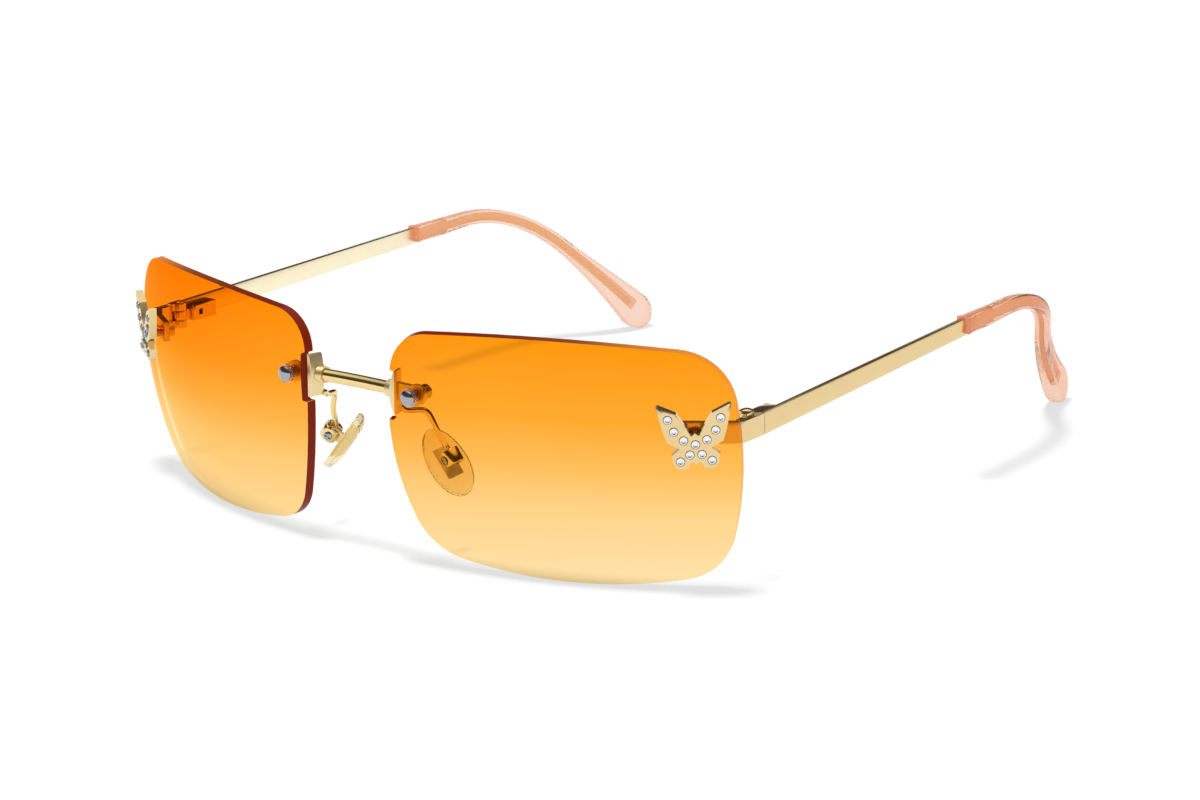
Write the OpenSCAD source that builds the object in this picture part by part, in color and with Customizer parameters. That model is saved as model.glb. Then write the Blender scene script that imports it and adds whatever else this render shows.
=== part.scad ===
// Rimless rectangular sunglasses, standing open on the lower lens edges and the temple tips.
// X runs to the wearer's left, Y to the back along the temples, Z up from the table.

/* [Lens] */
// Width of one lens
lens_w = 60; // [56:0.5:64]
// Height of one lens
lens_h = 42.3; // [40:0.1:46]
// Thickness of the lens
lens_t = 1.6; // [1.4:0.1:2]
// Radius of the domed front face
lens_r = 88; // [80:1:120]
// Gap between the two lenses at the nose
bridge_gap = 17.8; // [16:0.2:22]
// Turn of each lens round the face
lens_wrap = 19.7; // [17:0.1:21]
// Lean of the lens top to the front
lens_tilt = 6.3; // [4:0.1:8]
// Depth of the notch that seats the bridge mount
notch_depth = 1.2; // [1.1:0.1:1.6]
// Length of the notch along the lens edge
notch_len = 8.4; // [8.2:0.1:9.6]
// Height of the bridge mount above the middle of the lens
mount_v = 8.4; // [7:0.2:10]

/* [Bridge] */
// Diameter of the bridge bar
bar_d = 2.2; // [1.8:0.1:2.4]
// Bow of the bridge bar towards the face
bar_bow = 0.3; // [0.2:0.05:1.5]
// Distance of the bar behind the front edge of the plate
bar_back = 2; // [1.2:0.1:2.1]
// Drop of the bar below the middle of the plate
bar_drop = -0.15; // [-0.5:0.05:1]
// Outer diameter of the collar round each end of the bar
collar_d = 2.9; // [2.8:0.1:3.2]
// Length of the collar outside the plate
collar_len = 0.9; // [0.6:0.1:1.6]
// Length of the mount plate along the lens edge
plate_len = 7.4; // [7:0.1:8.4]
// Depth of the mount plate from front to back
plate_depth = 2.5; // [2.4:0.1:3.2]
// Thickness of the mount plate in its middle
plate_t = 1.3; // [1:0.05:1.4]
// Arch of the mount plate towards the nose
plate_arch = 0.85; // [0.2:0.05:0.9]
// Height of the lug behind the lens
lug_h = 3; // [2.4:0.1:3.4]
// Thickness of the lug and its eyelet
lug_t = 0.9; // [0.7:0.05:1]

/* [Fasteners] */
// Distance of the lens screw from the lens edge
screw_inset = 4.15; // [3.9:0.05:5]
// Diameter of the screw through the lens
screw_d = 1.4; // [1.2:0.1:1.5]
// Diameter of the domed screw head
head_d = 2.7; // [2.5:0.1:2.9]
// Height of the domed screw head
head_h = 0.8; // [0.6:0.1:1]
// Outer diameter of the clear sleeve in the lens bore
sleeve_d = 2.1; // [2:0.1:2.3]
// Diameter of the clear flange under the screw head
flange_d = 3.3; // [3.1:0.1:3.5]
// Thickness of the clear flange
flange_t = 0.35; // [0.25:0.05:0.5]
// Diameter of the nuts behind the lens
nut_d = 2.6; // [2.4:0.1:2.8]
// Length of the nut on the lens screw
nut_len = 2.2; // [1.6:0.1:2.6]
// Length of the nut on the charm post
charm_nut_len = 1.4; // [1:0.1:1.8]
// Clearance round pins, screws and sleeves
fit_gap = 0.04; // [0.03:0.01:0.06]

/* [Nose pads] */
// Diameter of the pad arm wire
wire_d = 1; // [0.8:0.05:1.2]
// Reach of the pad arm out to the side
arm_out = 5.55; // [4:0.05:6]
// Reach of the pad arm to the back
arm_back = 8.6; // [8:0.1:10]
// Drop of the pad arm from the bridge to the clamp
arm_drop = 12.95; // [12:0.05:14.5]
// Slant of the pad seen from the front
pad_slant = 38.5; // [30:0.5:44]
// Turn of the pad to face the nose
pad_splay = 22.8; // [15:0.5:30]
// Length of the soft pad
pad_len = 13; // [11.6:0.2:14.6]
// Width of the soft pad
pad_w = 7.8; // [6.8:0.2:8.6]
// Thickness of the soft pad
pad_t = 2.3; // [2:0.1:3]
// Length of the metal plate in the pad
insert_len = 5.6; // [5:0.1:6.4]
// Width of the metal plate in the pad
insert_w = 3; // [2.6:0.1:3.4]
// Diameter of the clamp cup
cup_d = 3.3; // [3.1:0.1:3.4]
// Length of the clamp cup
cup_len = 2.6; // [2.4:0.1:2.8]
// Diameter of the pad screw
pad_screw_d = 0.8; // [0.7:0.05:0.9]
// Thickness of the tab that the clamp holds
tab_t = 1; // [0.8:0.05:1.2]

/* [Butterfly charm] */
// Span over the upper wing tips
charm_w = 12.1; // [11:0.2:12.6]
// Distance of the charm from the middle of the lens, sideways
charm_u = 22.95; // [21:0.1:23.4]
// Height of the charm above the middle of the lens
charm_v = 6.5; // [5.5:0.1:7.5]
// Thickness of the charm plate
charm_t = 1.3; // [1.1:0.1:1.5]
// Diameter of a rhinestone
stone_d = 1.42; // [1.3:0.02:1.46]
// Depth of a stone seat
seat_depth = 0.75; // [0.6:0.05:0.85]
// Diameter of the threaded post
post_d = 1.2; // [1:0.1:1.3]

/* [Endpiece and hinge] */
// Height of the endpiece band
band_h = 3.63; // [3.4:0.05:3.8]
// Thickness of the endpiece band
band_t = 1; // [0.9:0.05:1.1]
// Height of the middle of the band above the middle of the lens
band_rise = 6.78; // [6.2:0.05:7.3]
// Length of the band along the back of the lens
band_len = 10.5; // [9:0.5:14]
// Distance of the endpiece wall inside the lens edge
side_inset = 0.6; // [0.2:0.1:1]
// Distance of the temple seam behind the corner of the endpiece
seam_back = 5.65; // [5:0.05:8]
// Distance of the hinge axis in front of the seam
hinge_set = 1.85; // [1.7:0.05:2]
// Diameter of the hinge knuckles
knuckle_d = 2.5; // [2.3:0.05:2.5]
// Height of the whole hinge barrel
barrel_h = 4.65; // [4.4:0.05:5]
// Height of the middle knuckle
tang_h = 1.7; // [1.4:0.05:1.9]
// Diameter of the hinge screw
hinge_screw_d = 1.2; // [1:0.05:1.3]
// Length of the spring box
box_len = 6; // [5.8:0.1:8]
// Height of the spring box
box_h = 3; // [2.9:0.05:3.2]
// Depth of the spring box off the temple
box_w = 2.7; // [2.65:0.05:3]
// Wall of the spring box
box_wall = 0.45; // [0.4:0.05:0.5]
// Travel of the sprung hinge
flex = 0.8; // [0.4:0.1:1]

/* [Temple] */
// Thickness of the flat temple strip
strip_t = 0.95; // [0.8:0.05:1.1]
// Length of the bare strip
strip_len = 67.2; // [60:0.2:72]
// Height of the strip at the sleeve
strip_end_h = 3.1; // [2.8:0.05:3.3]
// Climb of the temple towards the ear
temple_pitch = 1.9; // [1.6:0.1:2.2]
// Inward lean of the temple
temple_lean = 0.9; // [0.6:0.1:1.4]
// Thickness of the sleeve over the ear
sleeve_t = 2.9; // [2.6:0.1:3.2]
// Height of the sleeve along its root
sleeve_h = 3.25; // [3.1:0.05:3.8]
// Rise of the front end of the sleeve above the middle of the strip
sleeve_rise = 0.25; // [0:0.05:0.3]
// Height of the sleeve where it is slimmest
waist_h = 2.8; // [2.6:0.1:3]
// Straight part of the sleeve before the bend
ear_straight = 15; // [13:1:20]
// Radius of the bend over the ear
ear_r = 35; // [28:1:40]
// Drop angle behind the ear
ear_drop = 44; // [38:1:48]
// Inward turn of the drop
ear_turn = 21; // [14:1:26]
// Radius at which the drop flares out again
flare_r = 90; // [70:5:160]
// Height of the wire core in the sleeve
core_h = 1.5; // [1.2:0.1:1.8]
// Width of the paddle end
paddle_w = 7.3; // [6:0.1:8.4]
// Thickness of the paddle end
paddle_t = 3.6; // [3:0.1:4]
// Length of the rounded paddle end
paddle_round = 5.4; // [4:0.2:6]

/* [Hidden] */
left = 1;
right = -1;
fine = 48;
dome_fn = 240;
seat_gap = 0.05;
gold = "#d9ad57";
satin_gold = "#e0c489";
steel = "#a9b0bd";
clear = "#e8eef0";

// Outline of a lens: four crowned sides and four rounded corners
nasal_peak = 7;
temporal_peak = 1;
top_peak = -0.5;
bottom_peak = 2.7;
nasal_r = 50;
temporal_r = 55;
top_r = 172;
bottom_r = 118;
side_steps = 10;
corner_steps = 12;
corner_r = [10.7, 7.5, 10.8, 9.5];
side_r = [temporal_r, top_r, nasal_r, bottom_r];
side_c = [[lens_w / 2 - temporal_r, temporal_peak], [top_peak, lens_h / 2 - top_r],
          [nasal_r - lens_w / 2, nasal_peak], [bottom_peak, bottom_r - lens_h / 2]];
corner_c = [for (i = [0:3]) meet(side_c[i], side_r[i] - corner_r[i],
                                 side_c[(i + 1) % 4], side_r[(i + 1) % 4] - corner_r[i])];
lens_outline = [for (i = [0:3]) each concat(
    arc(side_c[i], side_r[i], bearing(corner_c[(i + 3) % 4] - side_c[i], 90 * i),
        bearing(corner_c[i] - side_c[i], 90 * i), side_steps),
    arc(corner_c[i], corner_r[i], bearing(corner_c[i] - side_c[i], 90 * i),
        bearing(corner_c[i] - side_c[(i + 1) % 4], 90 * i + 90), corner_steps))];

// Where the left lens stands: its nasal edge at y = 0 and its lower edge on the table
nasal_sag = sag(norm([lens_w / 2, nasal_peak]));
nasal_back = cos(lens_tilt) * nasal_sag - sin(lens_tilt) * nasal_peak;
lens_x = bridge_gap / 2 + lens_w / 2 * cos(lens_wrap) + sin(lens_wrap) * nasal_back;
lens_y = lens_w / 2 * sin(lens_wrap) - cos(lens_wrap) * nasal_back;
lens_z = lens_h / 2 * cos(lens_tilt) - sin(lens_tilt) * sag(lens_h / 2);
dome_centre = lens_point([0, lens_r, 0]);
lens_edge_x = lens_point([lens_w / 2, sag(norm([lens_w / 2, temporal_peak])), temporal_peak])[0];

// Bridge mount, in the frame of the lens
notch_round = 0.4;
plate_face_u = notch_depth - seat_gap - lens_w / 2;
plate_set = 1.35;
plate_w = sag(norm([plate_face_u, mount_v])) + plate_set;
plate_foot = lens_point([plate_face_u, plate_w, mount_v]);
mount_point = plate_point([-plate_t, bar_back, -bar_drop]);
bow_r = (pow(mount_point[0], 2) + pow(bar_bow, 2)) / (2 * bar_bow);
bar_set = 0.35;
collar_set = 0.5;
bar_reach = mount_point[0] + bar_set;
collar_reach = mount_point[0] + collar_set;

// Lens screw, along the lens normal
screw_u = screw_inset - lens_w / 2;
screw_rise = 0.3;
screw_v = mount_v + screw_rise;
lug_gap = 0.12;
lug_y = lens_t + lug_gap;
nut_y = lug_y + lug_t;
eyelet_d = nut_d + 1;
lug_slope = asin(-screw_u / lens_r);
lug_reach = (screw_u - plate_face_u + plate_t / 2) / cos(lug_slope) + nut_y * tan(lug_slope);

// Nose pad, with x from the pad to the clamp, y across and z up its length
clamp_point = mount_point + [arm_out, arm_back, -arm_drop];
pad_room = 0.35;
pad_face = -cup_d / 2 - pad_room;
insert_t = 0.45;
insert_sink = 0.15;
insert_x = pad_face - insert_sink;
tab_len = 1.8;
// Depth into the pad and share of its outline there
pad_profile = [[0, 0.8], [0.08, 0.9], [0.25, 0.98], [0.45, 1], [0.6, 0.97], [0.75, 0.88], [0.88, 0.7],
               [0.96, 0.45], [1, 0.2]];
arm_u = -0.44;
arm_lead = 5;
elbow_reach = [0.35, 1.55, -0.75];
crest_reach = [1.07, 4.2, -1.15];
knee_reach = [1.9, 5.35, -1.95];
ankle_reach = [-1.02, -1.6, 3.67];
arm_start = plate_point([arm_u, plate_depth + seat_gap, wire_d / 2 - plate_len / 2]);
arm_way = plate_point([0, arm_lead, 0]) - plate_foot;
arm_end = clamp_point + pad_turn([0, 0, cup_len / 2 + seat_gap]);
arm_points = [arm_start + elbow_reach - arm_way, arm_start, arm_start + elbow_reach, arm_start + crest_reach,
              arm_start + knee_reach, arm_end + ankle_reach, arm_end, arm_end + pad_turn([0, 0, -arm_lead])];

// Butterfly: the half outline to the right of its axis and its stones, scaled to the span
charm_lean = -1.8;
charm_half = [[0, 0.85], [0.36, 0.47], [0.66, 0.35], [1.48, 1.92], [2.85, 4.1], [5.75, 5.5], [6.02, 5.33],
              [5.17, 1.45], [4.5, -0.6], [2.55, -1.7], [3.88, -2.8], [3.55, -4.45], [2.9, -5.12],
              [1.37, -5.02], [0.82, -4.05], [0.35, -4.1], [0, -4.45]];
charm_scale = charm_w / 2 / max([for (p = charm_half) p[0]]);
stone_places = [[0, -1.08], [4.23, 3.24], [3.34, 1.22], [1.86, -0.33], [0.96, -2.75], [2.52, -3.83]];
stone_spots = concat([stone_places[0]],
                     [for (s = [left, right]) for (i = [1:5]) [s * stone_places[i][0], stone_places[i][1]]]);
post_drop = 0.6;
post_v = -post_drop * charm_scale;

// Endpiece: a band along the back of the lens that turns the corner to the temple
band_z = lens_z + band_rise;
band_drop = max(abs(band_z - band_h / 2 - dome_centre[2]), abs(band_z + band_h / 2 - dome_centre[2]));
band_r = sqrt(pow(lens_r - lens_t, 2) - pow(band_drop, 2)) - seat_gap;
side_x = lens_edge_x - side_inset;
bend_r = 1;
bend_c = [side_x - band_t / 2 - bend_r,
          dome_centre[1] - sqrt(pow(band_r - band_t / 2 - bend_r, 2)
                                - pow(side_x - band_t / 2 - bend_r - dome_centre[0], 2))];
seam_y = bend_c[1] + seam_back;
bend_angle = atan2(bend_c[1] - dome_centre[1], bend_c[0] - dome_centre[0]);
band_path = concat(arc([dome_centre[0], dome_centre[1]], band_r - band_t / 2,
                       bend_angle - band_len / band_r * 180 / PI, bend_angle, 10),
                   arc(bend_c, bend_r, bend_angle, 0, 8),
                   [[bend_c[0] + bend_r, bend_c[1]], [bend_c[0] + bend_r, seam_y]]);
charm_nut_y = lens_r - band_r + band_t + seat_gap;

// Hinge, from its axis: x to the side, y to the back, z up from the middle of the band
hinge_x = side_x - strip_t - box_w / 2;
hinge_y = seam_y - hinge_set;
leaf_len = 2.1;
leaf_over = 0.4;
leaf_t = 0.75;
knuckle_gap = 0.05;
hinge_head_d = 2;
hinge_head_h = 0.4;
wall_x = side_x - band_t - hinge_x;
box_set = 0.35;
box_y = hinge_set + box_set;
window = 1;
rod_d = 0.9;
rod_room = 0.35;
rod_head_d = 1.5;
rod_head_t = 0.5;
shoulder_t = 0.6;
rod_end = box_y + box_len - box_wall - rod_room;
spring_wire = 0.22;
spring_turns = 4.5;
spring_len = rod_end - rod_head_t - box_y - shoulder_t - flex - 4 * seat_gap;

// Temple, from the hinge axis
strip_x = side_x - hinge_x - strip_t / 2;
strip_y = hinge_set + 2 * seat_gap;
sleeve_foot = [strip_x, strip_y + strip_len * cos(temple_pitch), strip_len * sin(temple_pitch)];
sleeve_sides = 20;
root_len = 7;

// Way over the ear: straight, then one bend that turns down and inward, then the drop
ear_from = [0, cos(temple_pitch), sin(temple_pitch)];
ear_to = [-sin(ear_turn), cos(ear_turn) * cos(ear_drop), -cos(ear_turn) * sin(ear_drop)];
ear_axis = cross(ear_from, ear_to) / norm(cross(ear_from, ear_to));
ear_bend = acos(ear_from * ear_to);
bend_len = ear_r * ear_bend * PI / 180;
drop_s = ear_straight + bend_len;
drop_len = settle((band_z + sleeve_foot[2]) / sin(ear_drop), 6);
cap_s = drop_s + drop_len;
swell_power = 1.35;
root_heights = [[0, sleeve_h], [root_len, sleeve_h], [ear_straight, waist_h], [drop_s, waist_h]];
tip_rings = concat(
    [for (s = [0, 1.2, 2.6, 5]) sleeve_ring(s, s < 1 ? 7 : 4)],
    [for (s = [8:3:cap_s]) sleeve_ring(s, 4)],
    cap_rings(cap_s));
core_inset = 0.05;
core_step = 9.5;
core_root_h = 2.2;
core_end = cap_s - 2.5;
slot_rise = 0.6;
slot_run = 1.4;

// Centre of the footprint
front_y = lens_point(dome_point(screw_u, screw_v, -flange_t - head_h - seat_gap))[1];
rear_y = max([for (r = tip_rings) for (p = r)
              hinge_y + p[0] * sin(temple_lean) + p[1] * cos(temple_lean)]);
mid_y = (front_y + rear_y) / 2;

// Depth of the dome at a distance from its axis
function sag(d) = lens_r - sqrt(lens_r * lens_r - d * d);

// Where two circles meet, to the right of the way from a to b turned left
function meet(a, ra, b, rb) =
    let (d = norm(b - a), e = (b - a) / d, along = (ra * ra - rb * rb + d * d) / (2 * d))
    a + along * e + sqrt(ra * ra - along * along) * [-e[1], e[0]];

// Direction of v in degrees, within half a turn of base
function bearing(v, base) = base + (atan2(v[1], v[0]) - base + 540) % 360 - 180;

// Points of an arc, without its last one
function arc(c, r, from, to, steps) =
    [for (k = [0:steps - 1]) let (a = from + (to - from) * k / steps) c + r * [cos(a), sin(a)]];

// A point of the lens frame in the frame of the whole pair
function lens_point(p) =
    let (y = p[1] * cos(lens_tilt) - p[2] * sin(lens_tilt))
    [lens_x + p[0] * cos(lens_wrap) - y * sin(lens_wrap),
     lens_y + p[0] * sin(lens_wrap) + y * cos(lens_wrap),
     lens_z + p[1] * sin(lens_tilt) + p[2] * cos(lens_tilt)];

// A point of the upright mount plate in the frame of the whole pair
function plate_point(p) =
    plate_foot + [p[0] * cos(lens_wrap) - p[1] * sin(lens_wrap),
                  p[0] * sin(lens_wrap) + p[1] * cos(lens_wrap), p[2]];

// A point under the front of the lens at (u, v), at a depth along the normal
function dome_point(u, v, depth) =
    let (w = lens_r - sag(norm([u, v])))
    [0, lens_r, 0] + [u, -w, v] * (lens_r - depth) / lens_r;

// A vector of the pad frame in the frame of the whole pair
function pad_turn(p) =
    let (x = p[0] * cos(pad_splay) + p[1] * sin(pad_splay),
         y = p[1] * cos(pad_splay) - p[0] * sin(pad_splay))
    [x * cos(pad_slant) - p[2] * sin(pad_slant), y, x * sin(pad_slant) + p[2] * cos(pad_slant)];

// Smooth curve through points, from the second to the last but one
function spline(p, steps) =
    [for (i = [1:len(p) - 3]) for (k = [0:i == len(p) - 3 ? steps : steps - 1])
     let (t = k / steps, a = p[i - 1], b = p[i], c = p[i + 1], d = p[i + 2])
     (2 * b + (c - a) * t + (2 * a - 5 * b + 4 * c - d) * t * t
      + (3 * b - a - 3 * c + d) * t * t * t) / 2];

// Both sides of a centre line, as one closed outline
function ribbon(path, t) =
    let (n = len(path),
         sides = [for (i = [0:n - 1]) let (d = path[min(i + 1, n - 1)] - path[max(i - 1, 0)])
                  [-d[1], d[0]] / norm(d) * t / 2])
    concat([for (i = [0:n - 1]) path[i] - sides[i]], [for (i = [n - 1:-1:0]) path[i] + sides[i]]);

// Round wire along a path: one ring of points for each point of the path
function tube(path, r, sides) =
    let (n = len(path))
    [for (i = [0:n - 1])
     let (d = path[min(i + 1, n - 1)] - path[max(i - 1, 0)], t = d / norm(d),
          e = cross(t, [0.3, -0.9, 0.1]), x = e / norm(e), y = cross(t, x))
     [for (k = [0:sides - 1]) path[i] + r * (x * cos(360 * k / sides) + y * sin(360 * k / sides))]];

// Way of the temple past the end of the strip at s: its centre, its side and its upper side
function ear_way(s) =
    let (a = min(max(s - ear_straight, 0) / ear_r * 180 / PI, ear_bend),
         c = max(s - drop_s, 0) / flare_r * 180 / PI,
         along = ear_turned(ear_from, a), side = ear_turned([1, 0, 0], a))
    [sleeve_foot + min(s, ear_straight) * ear_from
     + ear_r * (sin(a) * ear_from + (1 - cos(a)) * cross(ear_axis, ear_from))
     + flare_r * (sin(c) * along + (1 - cos(c)) * side),
     side * cos(c) - along * sin(c),
     ear_turned([0, -sin(temple_pitch), cos(temple_pitch)], a)];

// Vector turned by an angle round the axis of the bend
function ear_turned(v, a) =
    v * cos(a) + cross(ear_axis, v) * sin(a) + ear_axis * (ear_axis * v) * (1 - cos(a));

// Point of the temple at s, moved sideways by x and up by h
function ear_point(s, x, h) = let (w = ear_way(s)) w[0] + x * w[1] + h * w[2];

// Length of the drop at which the lowest point of its end meets the table
function settle(drop, tries) =
    tries == 0 ? drop
    : settle(drop + (band_z + min([for (r = cap_rings(drop_s + drop)) for (p = r) p[2]])) / sin(ear_drop),
             tries - 1);

// Section of the sleeve at s, which swells to the paddle
function sleeve_ring(s, square) =
    let (swell = pow(min(max((s - drop_s) / drop_len, 0), 1), swell_power))
    ring(s, sleeve_t + (paddle_t - sleeve_t) * swell,
         lookup(s, root_heights) + (paddle_w - waist_h) * swell, square);

// Rounded end of the sleeve from s on
function cap_rings(s) =
    [for (a = [0:12:84]) ring(s + paddle_round * sin(a), paddle_t * (0.4 + 0.6 * cos(a)),
                              paddle_w * cos(a), 4 - a / 60)];

// Rounded section of the sleeve at s
function ring(s, t, h, square) =
    [for (k = [0:sleeve_sides - 1]) let (a = -360 * k / sleeve_sides, c = cos(a), d = sin(a))
     ear_point(s, t / 2 * sign(c) * pow(abs(c), 2 / square),
               lookup(s, [[0, sleeve_rise], [root_len, 0]]) + h / 2 * sign(d) * pow(abs(d), 2 / square))];

// Square section of the core at s, with room round it and over it
function core_ring(s, h, room, over) =
    [for (c = [[1, 1], [1, -1], [-1, -1], [-1, 1]])
     ear_point(s, c[0] * (strip_t / 2 - core_inset + room), c[1] * (h / 2 + room) + (c[1] > 0 ? over : 0))];

// Outline of the pad at a depth
function pad_ring(depth, share) =
    [for (k = [0:23]) let (a = -15 * k, c = cos(a), d = sin(a))
     [pad_face - pad_t * depth, pad_w / 2 * share * sign(c) * pow(abs(c), 0.85),
      pad_len / 2 * share * sign(d) * pow(abs(d), 0.85)]];

// Closed skin over a row of rings
module skin(rings) {
    n = len(rings[0]);
    last = (len(rings) - 1) * n;
    polyhedron(
        points = [for (r = rings) each r],
        faces = concat(
            [[for (k = [0:n - 1]) k], [for (k = [n - 1:-1:0]) last + k]],
            [for (i = [0:len(rings) - 2]) for (k = [0:n - 1])
             let (a = i * n + k, b = i * n + (k + 1) % n) each [[a, a + n, b], [b, a + n, b + n]]]));
}

// One side of the pair, with the origin at the centre of the footprint
module placed(side) translate([0, -mid_y, 0]) mirror([1 - side, 0, 0]) children();

module lens_frame() translate([lens_x, lens_y, lens_z]) rotate([lens_tilt, 0, lens_wrap]) children();

// On the front of the lens at (u, v), with y pointing into it
module on_lens(u, v) {
    rise = asin(v / lens_r);
    lens_frame() translate([0, lens_r, 0]) rotate([-rise, 0, asin(u / (lens_r * cos(rise)))])
        translate([0, -lens_r, 0]) children();
}

module screw_frame() on_lens(screw_u, screw_v) children();

module charm_frame() on_lens(charm_u, charm_v) rotate([0, charm_lean, 0]) children();

module post_frame() charm_frame() translate([0, 0, post_v]) children();

module pad_frame() translate(clamp_point) rotate([0, -pad_slant, 0]) rotate([0, 0, -pad_splay]) children();

module hinge_frame() translate([hinge_x, hinge_y, band_z]) children();

module temple_frame() hinge_frame() rotate([0, 0, temple_lean]) children();

// Round bar along y from one depth to another
module rod(d, from, to)
    translate([0, from, 0]) rotate([-90, 0, 0]) cylinder(d = d, h = to - from, $fn = fine);

// Outline in (x, z) made a plate from one depth to another
module plate(from, to) translate([0, to, 0]) rotate([90, 0, 0]) linear_extrude(to - from) children();

module domed_head(d, h) {
    edge = h * 0.35;
    r = (d * d / 4 + pow(h - edge, 2)) / (2 * (h - edge));
    intersection() {
        cylinder(d = d, h = h, $fn = fine);
        translate([0, 0, h - r]) sphere(r = r, $fn = fine);
    }
}

// Bowed round bar across the nose, reaching x on each side
module bow(d, x) {
    half = asin(x / bow_r);
    translate([0, mount_point[1] + bar_bow - bow_r, mount_point[2]]) rotate([0, 0, 90 - half])
        rotate_extrude(angle = 2 * half, $fn = dome_fn) translate([bow_r, 0]) circle(d = d, $fn = fine);
}

module lens(side) color("#f5a84e", 0.6) placed(side) difference() {
    lens_frame() intersection() {
        difference() {
            translate([0, lens_r, 0]) sphere(r = lens_r, $fn = dome_fn);
            translate([0, lens_r, 0]) sphere(r = lens_r - lens_t, $fn = dome_fn);
        }
        plate(-lens_t, lens_r / 3) polygon(lens_outline);
    }
    lens_frame() translate([0, 0, mount_v]) plate(-lens_t, lens_r / 3) notch();
    screw_frame() rod(sleeve_d + 2 * fit_gap, -lens_t, 2 * lens_t);
    post_frame() rod(sleeve_d + 2 * fit_gap, -lens_t, 2 * lens_t);
}

module notch() {
    floor_u = notch_depth - lens_w / 2;
    half = notch_len / 2;
    polygon(concat([[floor_u - 3, -half]],
                   arc([floor_u - notch_round, notch_round - half], notch_round, -90, 0, 4),
                   arc([floor_u - notch_round, half - notch_round], notch_round, 0, 90, 4),
                   [[floor_u - notch_round, half], [floor_u - 3, half]]));
}

module bridge_bar() color(gold) translate([0, -mid_y, 0]) bow(bar_d, bar_reach);

module bridge_mount(side) color(satin_gold) placed(side) difference() {
    union() {
        translate(plate_foot) rotate([0, 0, lens_wrap]) plate(0, plate_depth) mount_outline();
        intersection() {
            bow(collar_d, collar_reach);
            translate(mount_point - [collar_len, collar_d, collar_d]) cube(2 * collar_d);
        }
        screw_frame() {
            rod(eyelet_d, lug_y, lug_y + lug_t);
            translate([-lug_reach, lug_y, -lug_h / 2]) cube([lug_reach, lug_t, lug_h]);
        }
    }
    bow(bar_d + 2 * fit_gap, bar_reach + seat_gap);
    screw_frame() rod(screw_d + 2 * fit_gap, 0, lug_y + 2 * lug_t);
}

// Flat towards the lens and arched towards the nose
module mount_outline() {
    half = plate_len / 2;
    r = (half * half + plate_arch * plate_arch) / (2 * plate_arch);
    spread = asin(half / r);
    polygon(concat([[0, -half], [0, half]],
                   arc([r - plate_t, 0], r, 180 - spread, 180 + spread, 12),
                   [[plate_arch - plate_t, -half]]));
}

module lens_bushing(side) color(clear, 0.6) placed(side) screw_frame() difference() {
    union() {
        rod(flange_d, -flange_t, 0);
        rod(sleeve_d, -flange_t, lens_t);
    }
    rod(screw_d + 2 * fit_gap, -2 * flange_t, 2 * lens_t);
}

module lens_screw(side) color(steel) placed(side) screw_frame() {
    rod(screw_d, -flange_t - head_h / 4, nut_y + nut_len);
    translate([0, -flange_t, 0]) rotate([90, 0, 0]) domed_head(head_d, head_h);
}

// Barrel nut with a chamfered end, from a depth on
module barrel_nut(d, bore, y, len) difference() {
    chamfer = 0.25;
    union() {
        rod(d, y, y + len - chamfer);
        translate([0, y + len - chamfer, 0]) rotate([-90, 0, 0])
            cylinder(d1 = d, d2 = d - 2 * chamfer, h = chamfer, $fn = fine);
    }
    rod(bore + 2 * fit_gap, y - len, y + 2 * len);
}

module lens_nut(side) color(gold) placed(side) screw_frame() barrel_nut(nut_d, screw_d, nut_y, nut_len);

module pad_arm(side) color(gold) placed(side) skin(tube(spline(arm_points, 7), wire_d / 2, 12));

module pad_clamp(side) color(gold) placed(side) pad_frame() difference() {
    translate([0, 0, -cup_len / 2]) cylinder(d = cup_d, h = cup_len, $fn = fine);
    slot = tab_t + 4 * fit_gap;
    translate([-cup_d, -slot / 2, -cup_len]) cube([cup_d + tab_len / 2 + 2 * fit_gap, slot, 2 * cup_len]);
    rod(pad_screw_d + 2 * fit_gap, -cup_d, cup_d);
}

module pad_screw(side) color(steel) placed(side) pad_frame() {
    head_y = sqrt(pow(cup_d / 2, 2) - pow(pad_screw_d, 2));
    rod(pad_screw_d, -cup_d / 2 - 0.1, head_y);
    translate([0, -cup_d / 2 - fit_gap, 0]) rotate([90, 0, 0]) domed_head(2 * pad_screw_d, pad_screw_d / 2);
}

module pad_insert(side) color(gold) placed(side) pad_frame() difference() {
    union() {
        rod(tab_len, -tab_t / 2, tab_t / 2);
        translate([insert_x - insert_t / 2, -tab_t / 2, -tab_len / 2])
            cube([insert_t / 2 - insert_x, tab_t, tab_len]);
        translate([insert_x - insert_t, -insert_w / 2, -insert_len / 2])
            cube([insert_t, insert_w, insert_len]);
    }
    rod(pad_screw_d + 2 * fit_gap, -cup_d, cup_d);
}

module nose_pad(side) color("#f3e3b0", 0.7) placed(side) pad_frame() difference() {
    skin([for (k = pad_profile) pad_ring(k[0], k[1])]);
    translate([insert_x - insert_t - fit_gap, -insert_w / 2 - fit_gap, -insert_len / 2 - fit_gap])
        cube([insert_t + 2 * fit_gap, insert_w + 2 * fit_gap, insert_len + 2 * fit_gap]);
    translate([insert_x, -tab_t / 2 - fit_gap, -tab_len / 2 - fit_gap])
        cube([cup_d, tab_t + 2 * fit_gap, tab_len + 2 * fit_gap]);
}

module butterfly(side) color(satin_gold) placed(side) {
    charm_frame() difference() {
        plate(-seat_gap - charm_t, -seat_gap) scale(charm_scale)
            polygon(concat(charm_half, [for (i = [len(charm_half) - 2:-1:1])
                                        [-charm_half[i][0], charm_half[i][1]]]));
        for (s = stone_spots)
            translate(charm_scale * [s[0], 0, s[1]])
                rod(stone_d + 2 * fit_gap, -seat_gap - 2 * charm_t, seat_depth - seat_gap - charm_t);
    }
    post_frame() rod(post_d, -seat_gap - charm_t / 4, charm_nut_y + charm_nut_len);
}

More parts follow.
